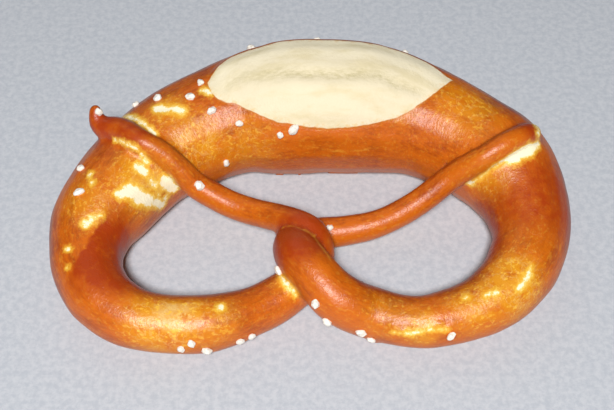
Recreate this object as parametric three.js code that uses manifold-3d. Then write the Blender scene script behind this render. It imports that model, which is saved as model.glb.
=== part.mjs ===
// A soft pretzel: one rope of dough, thick at the belly and thin at the arms, that is looped,
// crossed over itself twice and pressed onto its own shoulders, with coarse salt baked on.
// Millimetres. +X runs across the pretzel, +Y from the crossing towards the belly, +Z up from
// the surface that it rests on. The origin is under the middle of the bounding box.
import * as THREE from 'three';
import { mergeVertices } from 'three/addons/utils/BufferGeometryUtils.js';
import Module from 'manifold-3d';

const wasm = await Module();
wasm.setup();

// Driving dimensions: the radius of the rope along its stretches.
const BELLY = 21.5;
const SHOULDER = 16.2;
const SIDE = 12;
const LOOP = 8;
const CROSSING = 6.5;
const ARM = 3.8;

// The split in the crust, along the belly's top and back. Its front and back edges are angles
// around the rope (0 degrees is outward, 90 is up) at places across the pretzel.
const SPLIT_SWELL = 1.5; // how far the crumb stands out of the crust
const SPLIT_LIP = 14; // how many degrees of the crust behind the split are lifted with it
const GROOVE_DEPTH = 0.6; // the shallow furrow along the crumb
const GROOVE_ANGLE = 108;
const splitEdges = [
  { x: -31, front: 86, back: 86 },
  { x: -30, front: 99, back: 80 },
  { x: -28, front: 109, back: 73 },
  { x: -24, front: 120, back: 64 },
  { x: -16, front: 136, back: 58 },
  { x: -8, front: 146, back: 55 },
  { x: 4, front: 153, back: 55 },
  { x: 15, front: 151, back: 55 },
  { x: 24, front: 144, back: 56 },
  { x: 33, front: 126, back: 58 },
  { x: 38, front: 109, back: 60 },
  { x: 42, front: 91, back: 63 },
  { x: 46, front: 70, back: 70 },
];

// Salt.
const POCKET_SCALE = 1.14; // the pocket in the dough is this much larger than its grain
const GRAIN_LIFT = 0.2; // a grain's middle lies this part of its height above the crust

const BODY_SIDES = 24;
const ARM_SIDES = 14;
const UP = new THREE.Vector3(0, 0, 1);

// The rope's stations, from the curled tip of the left arm to the blunt end of the right one:
// the place of the centre line and the radius there.
const leftArm = [
  { x: -65.4, y: 21.8, z: 31.8, r: 1.9 },
  { x: -65.1, y: 20.4, z: 29.3, r: 2.6 },
  { x: -63, y: 18.5, z: 27.5, r: 3.4 },
  { x: -58, y: 16.5, z: 28.5, r: ARM },
  { x: -51, y: 11, z: 29.5, r: ARM },
  { x: -44, y: 8.2, z: 26.8, r: ARM - 0.2 },
  { x: -38, y: 5.8, z: 20.8, r: ARM - 0.1 },
  { x: -34, y: 4.3, z: 16, r: ARM + 0.2 },
  { x: -22.5, y: 0.2, z: 11.5, r: ARM + 0.5 },
  { x: -12, y: -4.9, z: 13, r: ARM + 0.5 },
  { x: -3, y: -10.8, z: 16.5, r: ARM + 0.5 },
  { x: 2, y: -14.8, z: 16, r: ARM + 0.8 },
  { x: 3.2, y: -19.5, z: 11.5, r: CROSSING - 1.1 },
  { x: -0.5, y: -25, z: 8, r: CROSSING - 0.2 },
  { x: -7.5, y: -30.6, z: 6.3, r: CROSSING + 0.6 },
];
const body = [
  { x: -16, y: -35.8, z: 6.2, r: LOOP - 0.6 },
  { x: -28, y: -40.6, z: 7, r: LOOP + 0.4 },
  { x: -41, y: -41, z: 7, r: LOOP + 0.4 },
  { x: -51.5, y: -39, z: 7.6, r: LOOP + 1.2 },
  { x: -60.3, y: -32.8, z: 8.8, r: SIDE - 2.1 },
  { x: -65.3, y: -23.4, z: 9.7, r: SIDE - 1.4 },
  { x: -66.2, y: -13.3, z: 10.5, r: SIDE },
  { x: -62.5, y: -1, z: 12, r: SIDE + 2.6 },
  { x: -47.2, y: 20.7, z: 13.6, r: SHOULDER + 0.4 },
  { x: -25, y: 33.5, z: 16, r: BELLY - 2.8 },
  { x: -10, y: 35.9, z: 17.4, r: BELLY - 0.3 },
  { x: 6, y: 36.5, z: 18, r: BELLY },
  { x: 20.5, y: 36.1, z: 17.4, r: BELLY - 0.7 },
  { x: 35.5, y: 33.2, z: 16, r: BELLY - 3 },
  { x: 50, y: 25.3, z: 14.8, r: SHOULDER + 0.7 },
  { x: 60.4, y: 15.6, z: 14, r: SHOULDER + 0.3 },
  { x: 66.8, y: 3.5, z: 12, r: SIDE + 2.2 },
  { x: 68.2, y: -10.5, z: 10.2, r: SIDE },
  { x: 63.3, y: -23.4, z: 8.8, r: SIDE - 1.2 },
  { x: 52.9, y: -34, z: 7.6, r: LOOP + 1.3 },
  { x: 39, y: -39.1, z: 6.7, r: LOOP + 0.1 },
  { x: 29, y: -39.5, z: 6.3, r: LOOP - 0.5 },
  { x: 19, y: -36.8, z: 6.5, r: LOOP - 0.2 },
];
const rightArm = [
  { x: 9, y: -35.2, z: 12, r: LOOP - 0.3 },
  { x: 2.2, y: -29.5, z: 16, r: CROSSING + 0.6 },
  { x: -2.4, y: -23.2, z: 16.3, r: CROSSING + 0.7 },
  { x: -3.8, y: -17, z: 13.5, r: CROSSING - 0.2 },
  { x: -3, y: -10.5, z: 8, r: CROSSING - 1.1 },
  { x: 3, y: -6.2, z: 5.5, r: ARM + 1.2 },
  { x: 12, y: -5.4, z: 6, r: ARM + 0.9 },
  { x: 23, y: -3.6, z: 8, r: ARM + 0.5 },
  { x: 34, y: 1.1, z: 11.5, r: ARM + 0.5 },
  { x: 43.5, y: 5.2, z: 18, r: ARM + 0.4 },
  { x: 48.5, y: 5.5, z: 23, r: ARM },
  { x: 54, y: 5.8, z: 28, r: ARM },
  { x: 60, y: 8.5, z: 30.5, r: ARM - 0.1 },
  { x: 66, y: 12.5, z: 30, r: ARM - 0.2 },
  { x: 68.5, y: 14.5, z: 28.5, r: ARM - 0.3 },
];
const rope = [...leftArm, ...body, ...rightArm];
const LAST = rope.length - 1;

const smooth = (points) => new THREE.CatmullRomCurve3(points, false, 'catmullrom', 0.5);
const centreLine = smooth(rope.map((s) => new THREE.Vector3(s.x, s.y, s.z)));
const radii = smooth(rope.map((s) => new THREE.Vector3(s.r, 0, 0)));

// Grains of salt: the station of the rope (0 is the left arm's tip), the angle around it
// (0 degrees is outward, 90 is up, 180 is inward) and half of the grain's length and width.
const saltGrains = [
  { at: 0.05, around: 60, long: 1.6, wide: 1.4 },
  { at: 7, around: 118, long: 1.8, wide: 1.6 },
  { at: 39.9, around: -12, long: 1.9, wide: 1.5 },
  { at: 15.3, around: -4, long: 1.5, wide: 1.3 },
  { at: 15.55, around: -6, long: 1.4, wide: 1.2 },
  { at: 16.15, around: -8, long: 1.9, wide: 1.6 },
  { at: 16.4, around: 17, long: 1.7, wide: 1.3 },
  { at: 16.6, around: 2, long: 1.3, wide: 1.2 },
  { at: 21.7, around: 77, long: 2.2, wide: 1.3 },
  { at: 22.1, around: 58, long: 1.6, wide: 1.4 },
  { at: 22.8, around: 2, long: 1.5, wide: 1.3 },
  { at: 23.06, around: 46, long: 1.7, wide: 1.5 },
  { at: 23.23, around: 71, long: 1.7, wide: 1.6 },
  { at: 23.53, around: 94, long: 1.8, wide: 1.4 },
  { at: 23.62, around: 176, long: 1.4, wide: 1.2 },
  { at: 23.72, around: 83, long: 1.5, wide: 1.3 },
  { at: 23.68, around: 118, long: 1.8, wide: 1.3 },
  { at: 23.98, around: 140, long: 1.5, wide: 1.2 },
  { at: 24.6, around: 47, long: 2.0, wide: 1.6 },
  { at: 25.03, around: 156, long: 1.3, wide: 1.1 },
  { at: 25.34, around: 152, long: 2.4, wide: 1.6 },
  { at: 25.85, around: 44, long: 1.4, wide: 1.1 },
  { at: 27.5, around: 45, long: 1.5, wide: 1.2 },
  { at: 29.6, around: -6, long: 1.7, wide: 1.4 },
  { at: 34.95, around: 18, long: 1.8, wide: 1.3 },
  { at: 36.8, around: -14, long: 1.5, wide: 1.2 },
  { at: 37.25, around: 0, long: 2.0, wide: 1.5 },
  { at: 37.95, around: -16, long: 1.8, wide: 1.6 },
  { at: 38.35, around: 16, long: 1.7, wide: 1.4 },
  { at: 43.5, around: 112, long: 1.5, wide: 1.2 },
];

const degrees = THREE.MathUtils.radToDeg;
const radians = THREE.MathUtils.degToRad;

// The direction level with the table and square to the rope. It points away from the holes.
function outward(t) {
  return new THREE.Vector3().crossVectors(UP, centreLine.getTangent(t)).normalize();
}

// How far the surface stands out at a place on the split.
function splitHeight(place, angle) {
  const next = splitEdges.findIndex((edge) => edge.x > place.x);
  if (next < 1 || place.y < 0) return 0;
  const [a, b] = [splitEdges[next - 1], splitEdges[next]];
  const share = (place.x - a.x) / (b.x - a.x);
  const front = THREE.MathUtils.lerp(a.front, b.front, share);
  const back = THREE.MathUtils.lerp(a.back, b.back, share);
  if (angle > front || angle < back - SPLIT_LIP) return 0;
  const opening = (front - back) / 98;
  const rise = THREE.MathUtils.smoothstep(front - angle, 0, 40);
  const fall = THREE.MathUtils.smoothstep(angle, back - SPLIT_LIP, back);
  const groove = GROOVE_DEPTH * opening * Math.exp(-(((angle - GROOVE_ANGLE) / 9) ** 2));
  return SPLIT_SWELL * Math.sqrt(opening) * rise * fall - groove * rise;
}

// A length of rope with rounded ends, bent from a capsule. Its cross section is carried along
// the centre line without a twist.
function ropeLength(from, to, sides, ringsPerStation) {
  const length = to - from;
  const rings = Math.round(length * ringsPerStation);
  const frames = [];
  let side = outward(from / LAST);
  for (let i = 0; i <= rings; i++) {
    const t = (from + (length * i) / rings) / LAST;
    const along = centreLine.getTangent(t);
    side = side.clone().addScaledVector(along, -side.dot(along)).normalize();
    const up = new THREE.Vector3().crossVectors(along, side);
    frames.push({ t, along, side, up, centre: centreLine.getPoint(t), radius: radii.getPoint(t).x });
  }
  const capsule = new THREE.CapsuleGeometry(1, length, 5, sides, rings);
  const position = capsule.getAttribute('position');
  for (let i = 0; i < position.count; i++) {
    const distance = THREE.MathUtils.clamp(position.getY(i) + length / 2, 0, length);
    const past = position.getY(i) + length / 2 - distance;
    const frame = frames[Math.round((distance / length) * rings)];
    const offset = new THREE.Vector3()
      .addScaledVector(frame.side, -position.getX(i))
      .addScaledVector(frame.up, position.getZ(i));
    const angle = degrees(Math.atan2(offset.z, offset.dot(outward(frame.t))));
    const place = frame.centre.clone()
      .addScaledVector(frame.along, past * frame.radius)
      .addScaledVector(offset, frame.radius + splitHeight(frame.centre, angle));
    position.setXYZ(i, place.x, place.y, place.z);
  }
  return capsule;
}

function toSolid(geometry) {
  const bare = geometry.index ? geometry.clone() : mergeVertices(geometry.clone());
  bare.deleteAttribute('normal');
  bare.deleteAttribute('uv');
  const merged = mergeVertices(bare, 1e-4);
  return new wasm.Manifold(new wasm.Mesh({
    numProp: 3,
    vertProperties: merged.getAttribute('position').array,
    triVerts: new Uint32Array(merged.index.array),
  }));
}

function toGeometry(solid) {
  const mesh = solid.getMesh();
  return new THREE.BufferGeometry()
    .setAttribute('position', new THREE.BufferAttribute(mesh.vertProperties, 3))
    .setIndex(new THREE.BufferAttribute(mesh.triVerts, 1));
}

// The dough, joined from three lengths that overlap where no fold is near, and cut flat below.
const bodyStart = leftArm.length;
const bodyEnd = leftArm.length + body.length - 1;
const left = toSolid(ropeLength(0, bodyStart + 1, ARM_SIDES, 3));
const middle = toSolid(ropeLength(bodyStart, bodyEnd, BODY_SIDES, 4));
const right = toSolid(ropeLength(bodyEnd - 1, LAST, ARM_SIDES, 3));
const table = toSolid(new THREE.BoxGeometry(400, 400, 60).translate(0, 0, -30));
const dough = left.add(middle).add(right).subtract(table);

// A grain: a rough crystal that lies flat on the crust, turned a little differently each time.
function grainGeometry({ at, around, long, wide }, index) {
  const t = at / LAST;
  const up = new THREE.Vector3().crossVectors(centreLine.getTangent(t), outward(t)).normalize();
  const normal = outward(t).multiplyScalar(Math.cos(radians(around)))
    .addScaledVector(up, Math.sin(radians(around)));
  const thick = wide * 0.8;
  const crystal = index % 3 === 1
    ? new THREE.DodecahedronGeometry(1, 0) : new THREE.IcosahedronGeometry(1, 0);
  crystal.rotateX(index * 0.7).rotateY(index * 1.3).scale(long, wide, thick);
  const turn = new THREE.Quaternion().setFromAxisAngle(new THREE.Vector3(0, 0, 1), index * 2.4);
  const tilt = new THREE.Quaternion().setFromUnitVectors(new THREE.Vector3(0, 0, 1), normal);
  const middle = centreLine.getPoint(t);
  const height = radii.getPoint(t).x + splitHeight(middle, around) + thick * GRAIN_LIFT;
  middle.addScaledVector(normal, height);
  return { crystal: crystal.applyQuaternion(turn).applyQuaternion(tilt), middle };
}

const material = (color, roughness) => new THREE.MeshStandardMaterial({ color, roughness, metalness: 0 });
const pretzel = new THREE.Group();
pretzel.name = 'soft_pretzel';

const grains = saltGrains.map(grainGeometry);
let pocketed = dough;
grains.forEach(({ crystal, middle }, i) => {
  const pocket = crystal.clone().scale(POCKET_SCALE, POCKET_SCALE, POCKET_SCALE);
  pocketed = pocketed.subtract(toSolid(pocket.translate(middle.x, middle.y, middle.z)));
  const grain = new THREE.Mesh(toGeometry(toSolid(crystal)), material(0xf2ece0, 0.5));
  grain.position.copy(middle);
  grain.name = `salt_grain_${String(i + 1).padStart(2, '0')}`;
  pretzel.add(grain);
});
const crust = new THREE.Mesh(toGeometry(pocketed), material(0xa8551a, 0.35));
crust.name = 'baked_dough';
pretzel.add(crust);

// The middle of the box goes over the origin.
const box = new THREE.Box3().setFromObject(pretzel, true);
const centre = box.getCenter(new THREE.Vector3());
pretzel.children.forEach((mesh) => mesh.position.add(new THREE.Vector3(-centre.x, -centre.y, 0)));

export default pretzel;
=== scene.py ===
import math

import bpy
import numpy as np
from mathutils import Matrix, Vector, noise


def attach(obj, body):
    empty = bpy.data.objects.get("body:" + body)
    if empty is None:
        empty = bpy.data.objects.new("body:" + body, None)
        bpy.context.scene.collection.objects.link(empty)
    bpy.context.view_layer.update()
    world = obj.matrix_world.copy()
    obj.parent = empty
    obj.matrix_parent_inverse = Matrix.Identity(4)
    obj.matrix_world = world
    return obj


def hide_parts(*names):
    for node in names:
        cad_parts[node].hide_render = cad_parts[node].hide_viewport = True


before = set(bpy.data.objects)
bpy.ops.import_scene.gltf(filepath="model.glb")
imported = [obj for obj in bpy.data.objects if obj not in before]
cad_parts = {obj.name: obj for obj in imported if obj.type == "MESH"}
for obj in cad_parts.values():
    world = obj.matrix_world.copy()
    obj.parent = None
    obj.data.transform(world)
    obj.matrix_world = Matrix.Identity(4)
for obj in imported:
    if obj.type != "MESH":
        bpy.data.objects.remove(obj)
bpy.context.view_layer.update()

# ---------------------------------------------------------------- the dough
# One rope of wheat dough, rolled thick at the belly and thin at both ends, looped, crossed twice
# and pressed onto its own shoulders. It is baked in one piece, so it is one skin here as well: a
# roll laid along a curve, its crossings fused, its underside flat from the tray.

MM = 0.001
MIDDLE = np.array([1.43, 3.62, 0.0])  # the middle of the rope's box, put over the origin

BELLY, SHOULDER, SIDE, LOOP, CROSSING, ARM = 21.5, 16.2, 12.0, 8.0, 6.5, 3.8

# The centre line and the rope's radius at each station, in mm.
rope = [
    # the left arm, from its curled tip to the crossing
    (-65.4, 21.8, 31.8, 1.9), (-65.1, 20.4, 29.3, 2.6), (-63, 18.5, 27.5, 3.4),
    (-58, 16.5, 28.5, ARM), (-51, 11, 29.5, ARM), (-44, 8.2, 26.8, ARM - 0.2),
    (-38, 5.8, 20.8, ARM - 0.1), (-34, 4.3, 16, ARM + 0.2), (-22.5, 0.2, 11.5, ARM + 0.5),
    (-12, -4.9, 13, ARM + 0.5), (-3, -10.8, 16.5, ARM + 0.5), (2, -14.8, 16, ARM + 0.8),
    # down through the crossing
    (3.2, -19.5, 11.5, CROSSING - 1.1), (-0.5, -25, 8, CROSSING - 0.2),
    (-7.5, -30.6, 6.3, CROSSING + 0.6),
    # the left loop and side
    (-16, -35.8, 6.2, LOOP - 0.6), (-28, -40.6, 7, LOOP + 0.4), (-41, -41, 7, LOOP + 0.4),
    (-51.5, -39, 7.6, LOOP + 1.2), (-60.3, -32.8, 8.8, SIDE - 2.1),
    (-65.3, -23.4, 9.7, SIDE - 1.4), (-66.2, -13.3, 10.5, SIDE), (-62.5, -1, 12, SIDE + 2.6),
    # the belly, between its two shoulders
    (-47.2, 20.7, 13.6, SHOULDER + 0.4), (-25, 33.5, 16, BELLY - 2.8),
    (-10, 35.9, 17.4, BELLY - 0.3), (6, 36.5, 18, BELLY), (20.5, 36.1, 17.4, BELLY - 0.7),
    (35.5, 33.2, 16, BELLY - 3), (50, 25.3, 14.8, SHOULDER + 0.7),
    (60.4, 15.6, 14, SHOULDER + 0.3),
    # the right side and loop
    (66.8, 3.5, 12, SIDE + 2.2), (68.2, -10.5, 10.2, SIDE), (63.3, -23.4, 8.8, SIDE - 1.2),
    (52.9, -34, 7.6, LOOP + 1.3), (39, -39.1, 6.7, LOOP + 0.1), (29, -39.5, 6.3, LOOP - 0.5),
    (19, -36.8, 6.5, LOOP - 0.2), (9, -35.2, 12, LOOP - 0.3),
    # up over the crossing
    (2.2, -29.5, 16, CROSSING + 0.6), (-2.4, -23.2, 16.3, CROSSING + 0.7),
    (-3.8, -17, 13.5, CROSSING - 0.2), (-3, -10.5, 8, CROSSING - 1.1),
    # the right arm, from the crossing to its end
    (3, -6.2, 5.5, ARM + 1.2), (12, -5.4, 6, ARM + 0.9), (23, -3.6, 8, ARM + 0.5),
    (34, 1.1, 11.5, ARM + 0.5), (43.5, 5.2, 18, ARM + 0.4), (48.5, 5.5, 23, ARM),
    (54, 5.8, 28, ARM), (60, 8.5, 30.5, ARM - 0.1), (66, 12.5, 30, ARM - 0.2),
    (68.5, 14.5, 28.5, ARM - 0.3),
]
stations = np.array(rope, float)

bpy.ops.object.select_all(action="DESELECT")
bpy.ops.curve.primitive_bezier_curve_add(location=(0, 0, 0))
dough = bpy.context.object
dough.name = "dough"
roll = dough.data
roll.splines[0].bezier_points.add(len(rope) - 2)
for i, point in enumerate(roll.splines[0].bezier_points):
    here = stations[i, :3]
    before = stations[max(i - 1, 0), :3]
    after = stations[min(i + 1, len(rope) - 1), :3]
    point.handle_left_type = point.handle_right_type = "FREE"
    point.co = Vector((here - MIDDLE) * MM)
    point.handle_left = Vector((here - MIDDLE - (after - before) / 6) * MM)
    point.handle_right = Vector((here - MIDDLE + (after - before) / 6) * MM)
    point.radius = stations[i, 3]
roll.splines[0].radius_interpolation = "CARDINAL"
roll.splines[0].resolution_u = 10
roll.dimensions = "3D"
roll.bevel_depth = MM
roll.bevel_resolution = 7
roll.use_fill_caps = True
bpy.ops.object.convert(target="MESH")

# Its two ends are rounded off.
for x, y, z, r in (rope[0], rope[-1]):
    tip = Vector((np.array([x, y, z]) - MIDDLE) * MM)
    bpy.ops.mesh.primitive_uv_sphere_add(segments=24, ring_count=16, radius=r * MM, location=tip)
    bpy.context.object.select_set(True)
    dough.select_set(True)
    bpy.context.view_layer.objects.active = dough
    bpy.ops.object.join()


def apply_modifier(piece, kind, **settings):
    modifier = piece.modifiers.new(kind.lower(), kind)
    for name, value in settings.items():
        setattr(modifier, name, value)
    bpy.context.view_layer.objects.active = piece
    bpy.ops.object.modifier_apply(modifier=modifier.name)


# One skin, and the side that it lay on is cut flat.
CELL = 0.72 * MM  # the size of the skin's facets
TRAY = (0, 0, 0.02 * MM)
apply_modifier(dough, "REMESH", mode="VOXEL", voxel_size=CELL)
apply_modifier(dough, "SMOOTH", factor=0.5, iterations=10)
bpy.ops.object.mode_set(mode="EDIT")
bpy.ops.mesh.select_all(action="SELECT")
bpy.ops.mesh.bisect(plane_co=TRAY, plane_no=(0, 0, 1), use_fill=True, clear_inner=True)
bpy.ops.object.mode_set(mode="OBJECT")
apply_modifier(dough, "REMESH", mode="VOXEL", voxel_size=CELL)
apply_modifier(dough, "SMOOTH", factor=0.5, iterations=3)

STEPS = 24  # short steps of the centre line from one station to the next


def catmull(values, steps):
    count = len(values)
    out = []
    for i in range(count - 1):
        p0, p1 = values[max(i - 1, 0)], values[i]
        p2, p3 = values[i + 1], values[min(i + 2, count - 1)]
        for k in range(steps):
            t = k / steps
            a = 2 * p1 + (p2 - p0) * t
            b = (2 * p0 - 5 * p1 + 4 * p2 - p3) * t * t + (3 * p1 - p0 - 3 * p2 + p3) * t ** 3
            out.append((a + b) / 2)
    return np.array(out + [values[-1]])


fine = catmull(stations, STEPS)
line, radius = fine[:, :3], fine[:, 3]
along = np.gradient(line, axis=0)
stride = np.linalg.norm(along, axis=1)
along /= stride[:, None]
outward = np.cross([0, 0, 1.0], along)
outward /= np.linalg.norm(outward, axis=1)[:, None]
upward = np.cross(along, outward)
length = np.cumsum(stride) - stride[0]

skin = dough.data
count = len(skin.vertices)
spot = np.zeros(count * 3)
skin.vertices.foreach_get("co", spot)
spot = spot.reshape(-1, 3) / MM + MIDDLE
normal = np.zeros(count * 3)
skin.vertices.foreach_get("normal", normal)
normal = normal.reshape(-1, 3)

# Where each point of the skin is along the rope and around it: 0 degrees is outward, 90 is up.
BATCH = 4000  # points measured at a time
BODY_START, BODY_END = 15, 38  # the stations between the crossings
LEFT_ARM_END, RIGHT_ARM_START = 10, 43
nearest = np.zeros(count, int)
for start in range(0, count, BATCH):
    part = spot[start:start + BATCH]
    away = np.linalg.norm(part[:, None, :] - line[None, :, :], axis=2) / radius[None, :]
    nearest[start:start + BATCH] = away.argmin(axis=1)
offset = spot - line[nearest]
up_part = (offset * upward[nearest]).sum(1)
out_part = (offset * outward[nearest]).sum(1)
angle = np.degrees(np.arctan2(up_part, out_part))
station = nearest / STEPS
distance = length[nearest] + (offset * along[nearest]).sum(1)
on_body = (station > BODY_START) & (station < BODY_END)
on_arms = (station < LEFT_ARM_END) | (station > RIGHT_ARM_START)


def ease(value, low, high):
    t = np.clip((value - low) / (high - low), 0, 1)
    return t * t * (3 - 2 * t)


def grain_noise(points, size, seed=0.0):
    shift = Vector((seed, seed * 1.7, -seed))
    return np.array([noise.noise(Vector(p) / size + shift) for p in points])


# The split: the crust opened along the belly's top, from tip to tip. Its front and back edges
# are given as angles around the rope at places across the pretzel.
SPLIT_LEFT, SPLIT_RIGHT, SPLIT_WIDEST = -31.0, 46.0, 93
FAR_FROM_CRUMB = -20.0
FRONT_EDGE = [
    (-31, 86), (-30.3, 97), (-28, 109), (-25, 117), (-20, 129), (-14, 139), (-8, 146), (0, 151),
    (7, 153), (15, 151), (22, 146), (28, 138), (33, 126), (37, 112), (41, 95), (44, 81), (46, 70),
]
BACK_EDGE = [
    (-31, 86), (-30, 81), (-28, 75), (-24, 69), (-16, 66), (-4, 63), (20, 63), (34, 64),
    (41, 66), (46, 70),
]
front = np.interp(spot[:, 0], *np.array(FRONT_EDGE, float).T)
back = np.interp(spot[:, 0], *np.array(BACK_EDGE, float).T)
opening = np.clip((front - back) / SPLIT_WIDEST, 0, 1)
frayed = grain_noise(spot, 5.0, 3.1) * 0.35 + grain_noise(spot, 1.2, 8.8) * 0.25
inside = np.minimum(front - angle, angle - back) * math.pi / 180 * radius[nearest]
ends = np.minimum(spot[:, 0] - SPLIT_LEFT, SPLIT_RIGHT - spot[:, 0]) * 2 + 0.5
on_belly = on_body & (spot[:, 1] > 0)
crumb = np.where(on_belly, np.minimum(inside, ends) + frayed, FAR_FROM_CRUMB)


def patch(path):
    """How far inside a patch each point lies, in mm.

    The patch is a path of (x, y, z, half width) on the skin.
    """
    path = np.array(path, float)
    for point in path:
        point[:3] = spot[np.linalg.norm(spot - point[:3], axis=1).argmin()]
    if len(path) == 1:
        return path[0, 3] - np.linalg.norm(spot - path[0, :3], axis=1)
    best = np.full(count, -50.0)
    for a, b in zip(path[:-1], path[1:]):
        span = b[:3] - a[:3]
        t = np.clip(((spot - a[:3]) @ span) / (span @ span), 0, 1)
        gap = np.linalg.norm(spot - (a[:3] + t[:, None] * span), axis=1)
        best = np.maximum(best, a[3] + (b[3] - a[3]) * t - gap)
    return best


# Small tears in the crust, where the pale crumb shows.
tears = [
    # behind the left arm and in front of it
    [(-57.4, 25.4, 24.9, 0.5), (-54, 21.4, 28, 1.0), (-51, 18.2, 29.2, 1.0),
     (-46.4, 14, 28.5, 0.3)],
    [(-58.1, 12, 28.2, 0.1), (-55.6, 9.7, 29.7, 0.3), (-53.6, 8.3, 29.9, 0.4),
     (-51.7, 7.3, 29.7, 0.5), (-50.2, 6.5, 28.7, 0.4), (-48.3, 5.5, 25.7, 0.2)],
    # on the left shoulder
    [(-46.6, 23.3, 30.2, 1.2), (-43, 22.8, 30.7, 1.1)],
    [(-40.6, 22.6, 30.9, 1.3), (-38.8, 22.4, 31, 1.0)],
    # the large ones on the left side, below the arm
    [(-55.9, -5.3, 23.9, 1.2), (-53, -4, 23.4, 2.4), (-50.4, -4.3, 20.8, 2.3),
     (-44.5, -0.9, 12.8, 1.2)],
    [(-51.5, 3.4, 26, 1.0), (-49.7, 2.4, 24.7, 1.3)],
    [(-43.5, 2.4, 19.5, 2.1), (-41, 3.4, 15.5, 1.5)],
    [(-45.6, -0.2, 17.5, 0.8)], [(-43, 0.8, 14.5, 0.8)],
    [(-46.3, 0.9, 20.9, 1.1)], [(-47.7, 1.2, 22.4, 0.8)],
    # a row of specks further down the left side
    [(-65.1, -15.9, 22.2, 0.9)], [(-63.9, -14.3, 22.6, 0.9)],
    [(-62.5, -13.5, 22.6, 0.8)], [(-61.2, -12.7, 22.5, 0.7)],
    # in front of the right arm's end
    [(70.3, 10.8, 28.1, 1.0), (67.3, 8.5, 28.2, 2.2), (63.2, 6, 28, 1.9), (59.4, 3.6, 27.6, 0.9),
     (56.2, 2.5, 26.6, 0.3), (54.2, 3.5, 23.2, 0.1), (50.8, 3.6, 18.3, 0.0)],
    # at the crossing, and beyond the right arm's end
    [(-7.1, -26.7, 12.5, 0.2), (-5.9, -29.7, 13.2, 0.4), (-4.1, -32.3, 12.2, 0.7),
     (-2.9, -33.4, 10.8, 0.1)],
    [(69.8, 16.8, 31, 0.7), (70.5, 12.7, 31, 0.7)],
    # on the right loop
    [(65, -28, 17.8, 0.1), (64, -30.5, 17.3, 0.8), (62.5, -33, 16.7, 1.1),
     (60.5, -34.8, 16, 0.3)],
    [(51.8, -37.2, 16.2, 0.2), (54.5, -36.6, 16.2, 0.6)], [(45.5, -37.6, 15.5, 0.4)],
    [(25, -45.5, 9.8, -0.3), (30.5, -46.1, 10.1, 0.3), (35.6, -45.9, 11.2, 0.3),
     (40, -45.7, 11.5, -0.3)],
    # single specks, the last one beside the split
    [(-25.2, -40.9, 14.9, 0.7)], [(-70.1, -23.4, 20.3, 0.4)], [(-69.9, -29, 18.5, 0.3)],
    [(-65, 0.2, 26.3, 0.5)], [(-64, -2.9, 26.2, 0.5)], [(50.2, 4.2, 18.5, 0.8)],
    [(-32.2, 29.3, 33.4, 0.9), (-30.3, 27.5, 33.9, 0.9)],
]
ragged = (grain_noise(spot, 1.6, 7.7) + grain_noise(spot, 4.0, 1.9)) * 0.6
tear = np.max([patch(path) for path in tears], axis=0)
tear = np.where(tear > -3, tear + ragged, tear)

# Golden places, where the crust browned less, and at the bottoms of both loops a painted
# highlight:
# the place, its reach in mm and how golden it is.
golden_and_highlight = [
    ((59, -33, 16), 15, 1.0), ((48, -38, 15), 13, 0.8), ((33, -45, 11), 8, 0.9),
    ((-34, 15, 25), 13, 0.9), ((50, 24, 32), 16, 0.55), ((-42, -44, 13), 15, 1.0),
    ((-49, 0, 23), 15, 1.1), ((56, 1, 24), 11, 0.8), ((-38, -42, 14), 14, 1.4),
    ((-46, 1.5, 21), 9, 1.4), ((24, -41, 14), 12, 0.35), ((66, -14, 18), 16, 0.2),
    ((-28, -43, 13), 12, 0.6), ((-5, -30, 12), 7, 0.8), ((-43, 23, 30), 9, 0.8),
    ((-20, 16, 22), 15, 0.5), ((-64, -8, 24), 13, 0.5), ((30, 22, 33), 9, 0.35),
]
gold = np.zeros(count)
for place, reach, strength in golden_and_highlight:
    gap = np.linalg.norm(spot - np.array(place, float), axis=1)
    gold = np.maximum(gold, strength * (1 - ease(gap, reach * 0.2, reach)))
gold[on_arms] *= 0.3

# Painted shade: darker where the skin faces back, away from the light, and where it faces out to
# either side;
# painted light low down at the front. The gold is thinned where the skin faces back.
turned = np.maximum(ease(normal[:, 1], -0.1, 0.6), 0.8 * ease(abs(normal[:, 0]), 0.7, 1.0))
turned -= 0.25 * ease(-normal[:, 1], 0.4, 0.95)
gold *= 1 - 0.8 * ease(normal[:, 1], 0.05, 0.5)

# Thin pale seams where two turns of the rope meet, and along the belly's lower front.
streaks = [
    [(-6.6, -13.8, 17.3, 0.1), (-2.1, -17, 20.6, 0.1), (1.8, -18.5, 20.3, 0.5),
     (4.4, -23.3, 21.2, 0.6), (6.7, -27.5, 20.9, 0.1)],
    [(-1.6, 15.6, 21.9, -0.6), (3.4, 15.8, 20.9, -0.3), (8.8, 15.8, 19.5, -0.1),
     (15.1, 15.9, 19.4, -0.2), (20.4, 16.2, 20.5, -0.1), (24.4, 16.3, 21.6, -0.3),
     (26.7, 16.2, 19.2, -0.4)],
]
seam = np.max([patch(path) for path in streaks], axis=0) + ragged * 0.8

# Dark places: the left loop's corner, behind a sharp edge, and soft darker spots at the crossing,
# by both arms' ends, on the right side and low inside both holes, each given as its place, where
# it starts to fade, where it ends and how dark it is. Those on the right side and low inside both
# holes are painted shade.
corner = (spot[:, 0] + 60.2) * 0.895 - (spot[:, 1] + 12.7) * 0.445 + ragged * 1.5
corner_gap = np.linalg.norm(spot - np.array([-58, -24, 17]), axis=1)
deep = ease(corner, -0.3, 0.8) * (1 - ease(corner_gap, 8, 18))
browned_and_shaded = [
    ((-2.5, -19, 21), 6, 15, 1), ((-63.8, 19, 31), 1.5, 3, 1), ((68, 14, 31), 2, 7, 1),
    ((-62, 17, 29), 3, 9, 0.8), ((-53, 13, 33), 4, 9, 0.7), ((70, -4, 14), 9, 22, 0.7),
    ((54, -14, 10), 6, 13, 0.7), ((-46, -30, 8), 5, 12, 0.6),
]
for place, near, far, strength in browned_and_shaded:
    gap = np.linalg.norm(spot - np.array(place, float), axis=1)
    deep = np.maximum(deep, strength * (1 - ease(gap, near, far)))

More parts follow.
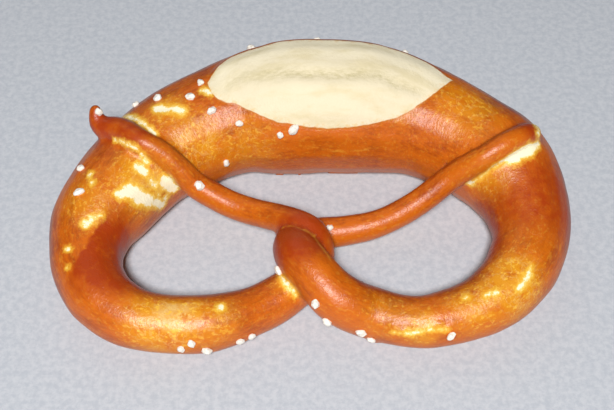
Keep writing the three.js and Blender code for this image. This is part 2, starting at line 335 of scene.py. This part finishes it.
# The crumb swells out of the split, with a shallow furrow along it, and lifts the crust behind.
# The right loop has a strip of small blisters. Heights and depths are in mm, angles in degrees.
LIP, FURROW_ANGLE, FURROW_WIDTH = 14, 105, 6.5
SWELL, FURROW, GROOVE, PIT, BLISTER = 1.5, 0.6, 0.12, 0.15, 0.7
rise = ease(front - angle, 0, 40) * ease(angle, back - LIP, back) * on_belly * (opening > 0)
swell = SWELL * np.sqrt(opening) * rise
bed = angle + grain_noise(spot, 12.0, 6.4) * 6 + grain_noise(spot, 3.0, 9.4) * 2
furrow = opening * np.exp(-(((bed - FURROW_ANGLE) / FURROW_WIDTH) ** 2)) * ease(crumb, 1, 5)
edge = GROOVE * np.exp(-(((crumb + 0.2) / 0.4) ** 2))
lumps = grain_noise(spot, 22.0, 11.0) * 0.4 + grain_noise(spot, 7.0, 2.0) * 0.15
pits = PIT * ease(tear, -0.4, 1.0)
above = ease(spot[:, 2], 0.3, 3.0)
strip = patch([(24, -45.3, 9.9, 2.4), (33, -46, 10.8, 2.6), (41, -45.3, 11.7, 2.4)])
blisters = np.maximum(grain_noise(spot, 1.5, 4.2), 0) * BLISTER * ease(strip, -1.0, 1.0)
push = (swell - FURROW * furrow - edge - pits + blisters) + lumps * above
spot = spot + normal * push[:, None]
spot[:, 2] = np.maximum(spot[:, 2], 0.0)
skin.vertices.foreach_set("co", ((spot - MIDDLE) * MM).ravel())
skin.update()

# What the crust's colours need to know about each point of the skin.
measures = {
    "crumb": crumb, "tear": tear, "gold": gold, "deep": deep, "seam": seam, "furrow": furrow,
    "turned": turned, "behind": ease(100 - angle, -10, 35), "base": ease(-normal[:, 2], 0.6, 0.95),
}
for name, values in measures.items():
    layer = skin.attributes.new(name, "FLOAT", "POINT")
    layer.data.foreach_set("value", np.asarray(values, np.float32))
turns = np.stack([distance, radius[nearest] * np.cos(np.radians(angle)),
                  radius[nearest] * np.sin(np.radians(angle))], axis=1)
layer = skin.attributes.new("grain", "FLOAT_VECTOR", "POINT")
layer.data.foreach_set("vector", (turns * MM).astype(np.float32).ravel())

for face in skin.polygons:
    face.use_smooth = True

# The crust: browned in lye to a glossy orange brown, golden where it stayed thin, matt cream crumb
# in the split and tears, with painted shade and light by the way the skin faces. Each layer is a
# mask that the next colour is mixed in by.
crust = bpy.data.materials.new("baked crust")
crust.use_nodes = True
nodes, links = crust.node_tree.nodes, crust.node_tree.links
nodes.clear()

FACTOR, UNDER, OVER, MIXED = 0, 6, 7, 2  # the Mix node's sockets for colours


def node(kind, **settings):
    new = nodes.new("ShaderNode" + kind)
    for name, value in settings.items():
        setattr(new, name, value)
    return new


def feed(source, socket):
    """source is a node and the name or number of its output."""
    links.new(source[0].outputs[source[1]], socket)


def measure(name, vector=False):
    return node("Attribute", attribute_name=name), ("Vector" if vector else "Fac")


def math_node(operation, a, b=None, clamp=False):
    new = node("Math", operation=operation, use_clamp=clamp)
    for i, value in enumerate((a, b)):
        if isinstance(value, tuple):
            feed(value, new.inputs[i])
        elif value is not None:
            new.inputs[i].default_value = value
    return new, "Value"


def share(mask, amount):
    return math_node("MULTIPLY", mask, amount)


def ramp(source, low, high):
    new = node("MapRange", interpolation_type="SMOOTHSTEP")
    feed(source, new.inputs["Value"])
    new.inputs["From Min"].default_value = low
    new.inputs["From Max"].default_value = high
    return new, "Result"


def mottle(size, detail=4.0, roughness=0.55, stretch=None, vector=None):
    new = node("TexNoise", noise_dimensions="3D")
    new.inputs["Scale"].default_value = 1 / (size * MM)
    new.inputs["Detail"].default_value = detail
    new.inputs["Roughness"].default_value = roughness
    if vector is None:
        vector = (node("TexCoord"), "Object")
    if stretch:
        place = node("Mapping")
        place.inputs["Scale"].default_value = stretch
        feed(vector, place.inputs["Vector"])
        vector = (place, "Vector")
    feed(vector, new.inputs["Vector"])
    return new, "Fac"


def paint(under, over, mask):
    """under and over are colours or outputs, mask is an output."""
    new = node("Mix", data_type="RGBA", clamp_factor=True)
    feed(mask, new.inputs[FACTOR])
    for i, value in ((UNDER, under), (OVER, over)):
        if isinstance(value[0], float):
            new.inputs[i].default_value = (*value, 1.0)
        else:
            feed(value, new.inputs[i])
    return new, MIXED


def emboss(surface, height, strength, depth):
    new = node("Bump")
    new.inputs["Strength"].default_value = strength
    new.inputs["Distance"].default_value = depth
    feed(height, new.inputs["Height"])
    links.new(new.outputs["Normal"], surface.inputs["Normal"])
    return new


CHESTNUT = (0.30, 0.036, 0.001)
ORANGE = (0.62, 0.130, 0.002)
GOLD = (0.76, 0.31, 0.006)
STRAW = (0.90, 0.65, 0.25)
FRECKLE = (0.88, 0.48, 0.05)
DARK_FRECKLE = (0.26, 0.035, 0.002)
DEEP_BROWN = (0.38, 0.038, 0.0005)
UNDERSIDE = (0.70, 0.42, 0.16)
SEAM = (0.86, 0.46, 0.05)
TEAR_GLOW = (0.86, 0.48, 0.04)
TEAR_EDGE = (0.93, 0.68, 0.18)
TORN_CRUMB = (0.95, 0.87, 0.62)
SPLIT_RIM = (0.55, 0.20, 0.02)

grain = measure("grain", vector=True)
broad = mottle(14.0, 3.0)
medium = mottle(3.2, 5.0, 0.6)
flecks = mottle(1.1, 4.0, 0.6, stretch=(0.75, 1.0, 1.0), vector=grain)
strands = mottle(2.4, 4.0, 0.6, stretch=(0.3, 1.0, 1.0), vector=grain)
fine_strands = mottle(0.8, 3.0, 0.65, stretch=(0.4, 1.0, 1.0), vector=grain)

tone = math_node("ADD", share(ramp(broad, 0.3, 0.7), 0.8), share(ramp(strands, 0.3, 0.75), 0.6))
tone = math_node("ADD", tone, share(ramp(fine_strands, 0.3, 0.7), 0.5))
# Painted shade where the skin faces back or out to the sides, away from the light, and painted
# light low down at the front.
tone = math_node("SUBTRACT", tone, share(measure("turned"), 0.7))
colour = paint(CHESTNUT, ORANGE, ramp(tone, -0.35, 1.35))

# Gold: a veil over the less browned places, finely blistered, with thin bright veins; at the
# bottoms of both loops it is a painted highlight.
veil = math_node("ADD", ramp(medium, 0.25, 0.6), 0.15)
blush = math_node("MULTIPLY", measure("gold"), veil, clamp=True)
colour = paint(colour, GOLD, share(blush, 0.85))
# The straw layer is partly painted highlight, at the bottom of the left loop.
pale = share(ramp(measure("gold"), 0.9, 1.6), 0.5)
colour = paint(colour, STRAW, math_node("MULTIPLY", pale, ramp(medium, 0.3, 0.6)))
freckled = math_node("ADD", share(measure("gold"), 0.75), 0.15)
freckle = math_node("MULTIPLY", ramp(flecks, 0.54, 0.64), freckled)
colour = paint(colour, FRECKLE, freckle)
vein = math_node("ABSOLUTE", math_node("SUBTRACT", mottle(4.0, 4.0, 0.6), 0.5))
vein = math_node("SUBTRACT", 1.0, ramp(vein, 0.0, 0.035))
colour = paint(colour, STRAW, math_node("MULTIPLY", vein, share(measure("gold"), 0.25)))

# Brown: dark freckles all over, the deep places, partly painted shade, and the paler underside.
dark_freckle = share(ramp(mottle(1.3, 4.0, 0.6), 0.55, 0.75), 0.2)
colour = paint(colour, DARK_FRECKLE, dark_freckle)
cloud = math_node("ADD", ramp(medium, 0.2, 0.8), 0.6)
# The deep places are partly darker crust and partly painted shade, on the right side and low
# inside both holes.
brown = math_node("MULTIPLY", measure("deep"), cloud, clamp=True)
colour = paint(colour, DEEP_BROWN, share(brown, 0.95))
colour = paint(colour, UNDERSIDE, measure("base"))

# Tears: a frayed pale spot with a golden edge. Seams are the same without the pale middle.
fray = share(math_node("SUBTRACT", mottle(1.1, 5.0, 0.75), 0.5), 3.4)
seam_line = ramp(math_node("ADD", measure("seam"), share(fray, 0.8)), -0.8, 0.8)
colour = paint(colour, SEAM, share(seam_line, 0.7))
fringe = math_node("ADD", measure("tear"), fray)
colour = paint(colour, TEAR_GLOW, share(ramp(fringe, -1.8, -0.2), 0.8))
colour = paint(colour, TEAR_EDGE, share(ramp(fringe, -0.6, 0.2), 0.85))
torn = ramp(fringe, 0.0, 0.5)
colour = paint(colour, TORN_CRUMB, torn)
rim = ramp(measure("crumb"), -0.8, 0.0)
colour = paint(colour, SPLIT_RIM, share(rim, 0.5))

# The crumb: cream, paler towards its back edge as painted light, mottled along the rope,
# greyer in the furrow as painted shade, toasted near its edge.
CREAM = (0.83, 0.73, 0.52)
PAINTED_LIGHT_CREAM = (0.97, 0.88, 0.65)
BUFF = (0.70, 0.59, 0.33)
FURROW_SHADE_CREAM = (0.58, 0.50, 0.29)
TOASTED = (0.80, 0.52, 0.20)
open_crumb = ramp(measure("crumb"), -0.1, 0.35)
# Painted light: the crumb is paler towards its back edge, which turns away from the light.
cream = paint(CREAM, PAINTED_LIGHT_CREAM, measure("behind"))
crumb_tone = mottle(5.0, 5.0, 0.6, stretch=(0.35, 1.0, 1.0), vector=grain)
crumb_colour = paint(cream, BUFF, share(ramp(crumb_tone, 0.42, 0.7), 0.55))
creases = math_node("ADD", ramp(fine_strands, 0.3, 0.7), 0.35)
# Painted shade: the crumb is greyer in the furrow.
shaded = math_node("MULTIPLY", measure("furrow"), creases)
crumb_colour = paint(crumb_colour, FURROW_SHADE_CREAM, share(shaded, 0.75))
toasted = math_node("SUBTRACT", 1.0, ramp(measure("crumb"), 0.2, 3.0))
toasted = math_node("MULTIPLY", toasted, ramp(flecks, 0.45, 0.7))
crumb_colour = paint(crumb_colour, TOASTED, share(toasted, 0.6))
colour = paint(colour, crumb_colour, open_crumb)

# The lye leaves a gloss on the crust, and the bare crumb is matt.
bare = math_node("MAXIMUM", torn, open_crumb)


def from_crust_to_crumb(on_crust, on_crumb):
    new = node("MapRange")
    feed(bare, new.inputs["Value"])
    new.inputs["To Min"].default_value = on_crust
    new.inputs["To Max"].default_value = on_crumb
    return new, "Result"


dough_surface = node("BsdfPrincipled")
feed(colour, dough_surface.inputs["Base Color"])
feed(from_crust_to_crumb(0.6, 0.85), dough_surface.inputs["Roughness"])
feed(from_crust_to_crumb(0.9, 0.0), dough_surface.inputs["Coat Weight"])
dough_surface.inputs["Coat Roughness"].default_value = 0.36
dough_surface.inputs["Specular IOR Level"].default_value = 0.05

wrinkle = mottle(1.4, 4.0, 0.6, stretch=(1.0, 0.5, 0.5), vector=grain)
leather = mottle(0.7, 3.0, 0.6)
relief = math_node("ADD", wrinkle, share(leather, 0.6))
relief = math_node("ADD", relief, share(vein, 0.15))
wrinkles = emboss(dough_surface, relief, 0.6, 0.25 * MM)
links.new(wrinkles.outputs["Normal"], dough_surface.inputs["Coat Normal"])
output = node("OutputMaterial")
links.new(dough_surface.outputs["BSDF"], output.inputs["Surface"])
skin.materials.clear()
skin.materials.append(crust)

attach(dough, "root")
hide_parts("baked_dough")

# ---------------------------------------------------------------- the salt
# Coarse grains of salt, strewn on the wet dough and baked into the crust. They are rough
# crystals with worn edges, white with clearer spots.
SALT_WHITE = (0.90, 0.86, 0.78)
SALT_CLEAR = (0.78, 0.70, 0.58)
WORN_EDGE, CHIP_SIZE, CHIP_DEPTH = 0.16 * MM, 1.3 * MM, 0.3 * MM

salt = bpy.data.materials.new("coarse salt")
salt.use_nodes = True
nodes, links = salt.node_tree.nodes, salt.node_tree.links
salt_surface = nodes["Principled BSDF"]
cloudy = paint(SALT_WHITE, SALT_CLEAR, ramp(mottle(0.9, 3.0), 0.45, 0.7))
feed(cloudy, salt_surface.inputs["Base Color"])
salt_surface.inputs["Roughness"].default_value = 0.42
salt_surface.inputs["Specular IOR Level"].default_value = 0.5
emboss(salt_surface, mottle(0.5, 3.0, 0.6), 0.4, 0.1 * MM)

crystals = sorted(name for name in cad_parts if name.startswith("salt_grain"))
for number, name in enumerate(crystals):
    bpy.ops.object.select_all(action="DESELECT")
    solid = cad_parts[name]
    crystal = solid.copy()
    crystal.data = solid.data.copy()
    crystal.parent = None
    crystal.name = "crystal_" + name[-2:]
    for key in list(crystal.keys()):
        del crystal[key]
    bpy.context.collection.objects.link(crystal)
    crystal.select_set(True)
    bpy.context.view_layer.objects.active = crystal
    bpy.ops.object.mode_set(mode="EDIT")
    bpy.ops.mesh.select_all(action="SELECT")
    bpy.ops.mesh.remove_doubles(threshold=1e-5)
    bpy.ops.object.mode_set(mode="OBJECT")
    apply_modifier(crystal, "BEVEL", width=WORN_EDGE, segments=2)
    apply_modifier(crystal, "SUBSURF", levels=1, render_levels=1)
    for vertex in crystal.data.vertices:
        place = vertex.co / CHIP_SIZE + Vector((number * 3.1, 0, 0))
        vertex.co += vertex.normal * noise.noise(place) * CHIP_DEPTH
    bpy.ops.object.shade_smooth_by_angle(angle=math.radians(35))
    crystal.data.materials.clear()
    crystal.data.materials.append(salt)
    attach(crystal, "root")
    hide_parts(name)

# ---------------------------------------------------------------- floor, light and camera
# A plain pale floor of fine paper, one soft light close above the camera, a faint one behind and
# a pale surround.
PALE_GREY = (0.49, 0.52, 0.57)
PALER_GREY = (0.59, 0.61, 0.65)

bpy.ops.object.select_all(action="DESELECT")
bpy.ops.mesh.primitive_plane_add(size=3, location=(0, 0, 0))
floor = bpy.context.object
floor.name = "floor"
paper = bpy.data.materials.new("pale floor")
paper.use_nodes = True
nodes, links = paper.node_tree.nodes, paper.node_tree.links
floor_surface = nodes["Principled BSDF"]
fibre = paint(PALE_GREY, PALER_GREY, ramp(mottle(2.0, 5.0, 0.7), 0.35, 0.65))
feed(fibre, floor_surface.inputs["Base Color"])
floor_surface.inputs["Roughness"].default_value = 0.9
floor.data.materials.append(paper)

ELEVATION = math.radians(50)
AWAY = 370 * MM
target = Vector((-1.43 * MM, -3.55 * MM, 12 * MM))
view = Vector((0, -math.cos(ELEVATION), math.sin(ELEVATION)))
bpy.ops.object.camera_add(location=target + view * AWAY)
camera = bpy.context.object
camera.rotation_euler = view.to_track_quat("Z", "Y").to_euler()
camera.data.lens = 70
camera.data.sensor_width = 36
camera.data.clip_start = 0.01
bpy.context.scene.camera = camera


def soft_light(name, place, size, power):
    bpy.ops.object.light_add(type="AREA", location=place)
    light = bpy.context.object
    light.name = name
    light.data.size = size
    light.data.energy = power
    light.rotation_euler = (Vector(place) - target).to_track_quat("Z", "Y").to_euler()


soft_light("key", target + view * AWAY * 3.0 + Vector((-0.04, 0.02, 0.03)), 0.2, 15)
soft_light("back", Vector((-0.3, 0.7, 0.9)), 0.8, 0.9)

world = bpy.data.worlds.new("pale surround")
bpy.context.scene.world = world
world.use_nodes = True
surround = world.node_tree.nodes["Background"]
surround.inputs["Color"].default_value = (1.0, 0.98, 0.96, 1)
surround.inputs["Strength"].default_value = 0.045
bpy.context.scene.view_settings.view_transform = "Standard"
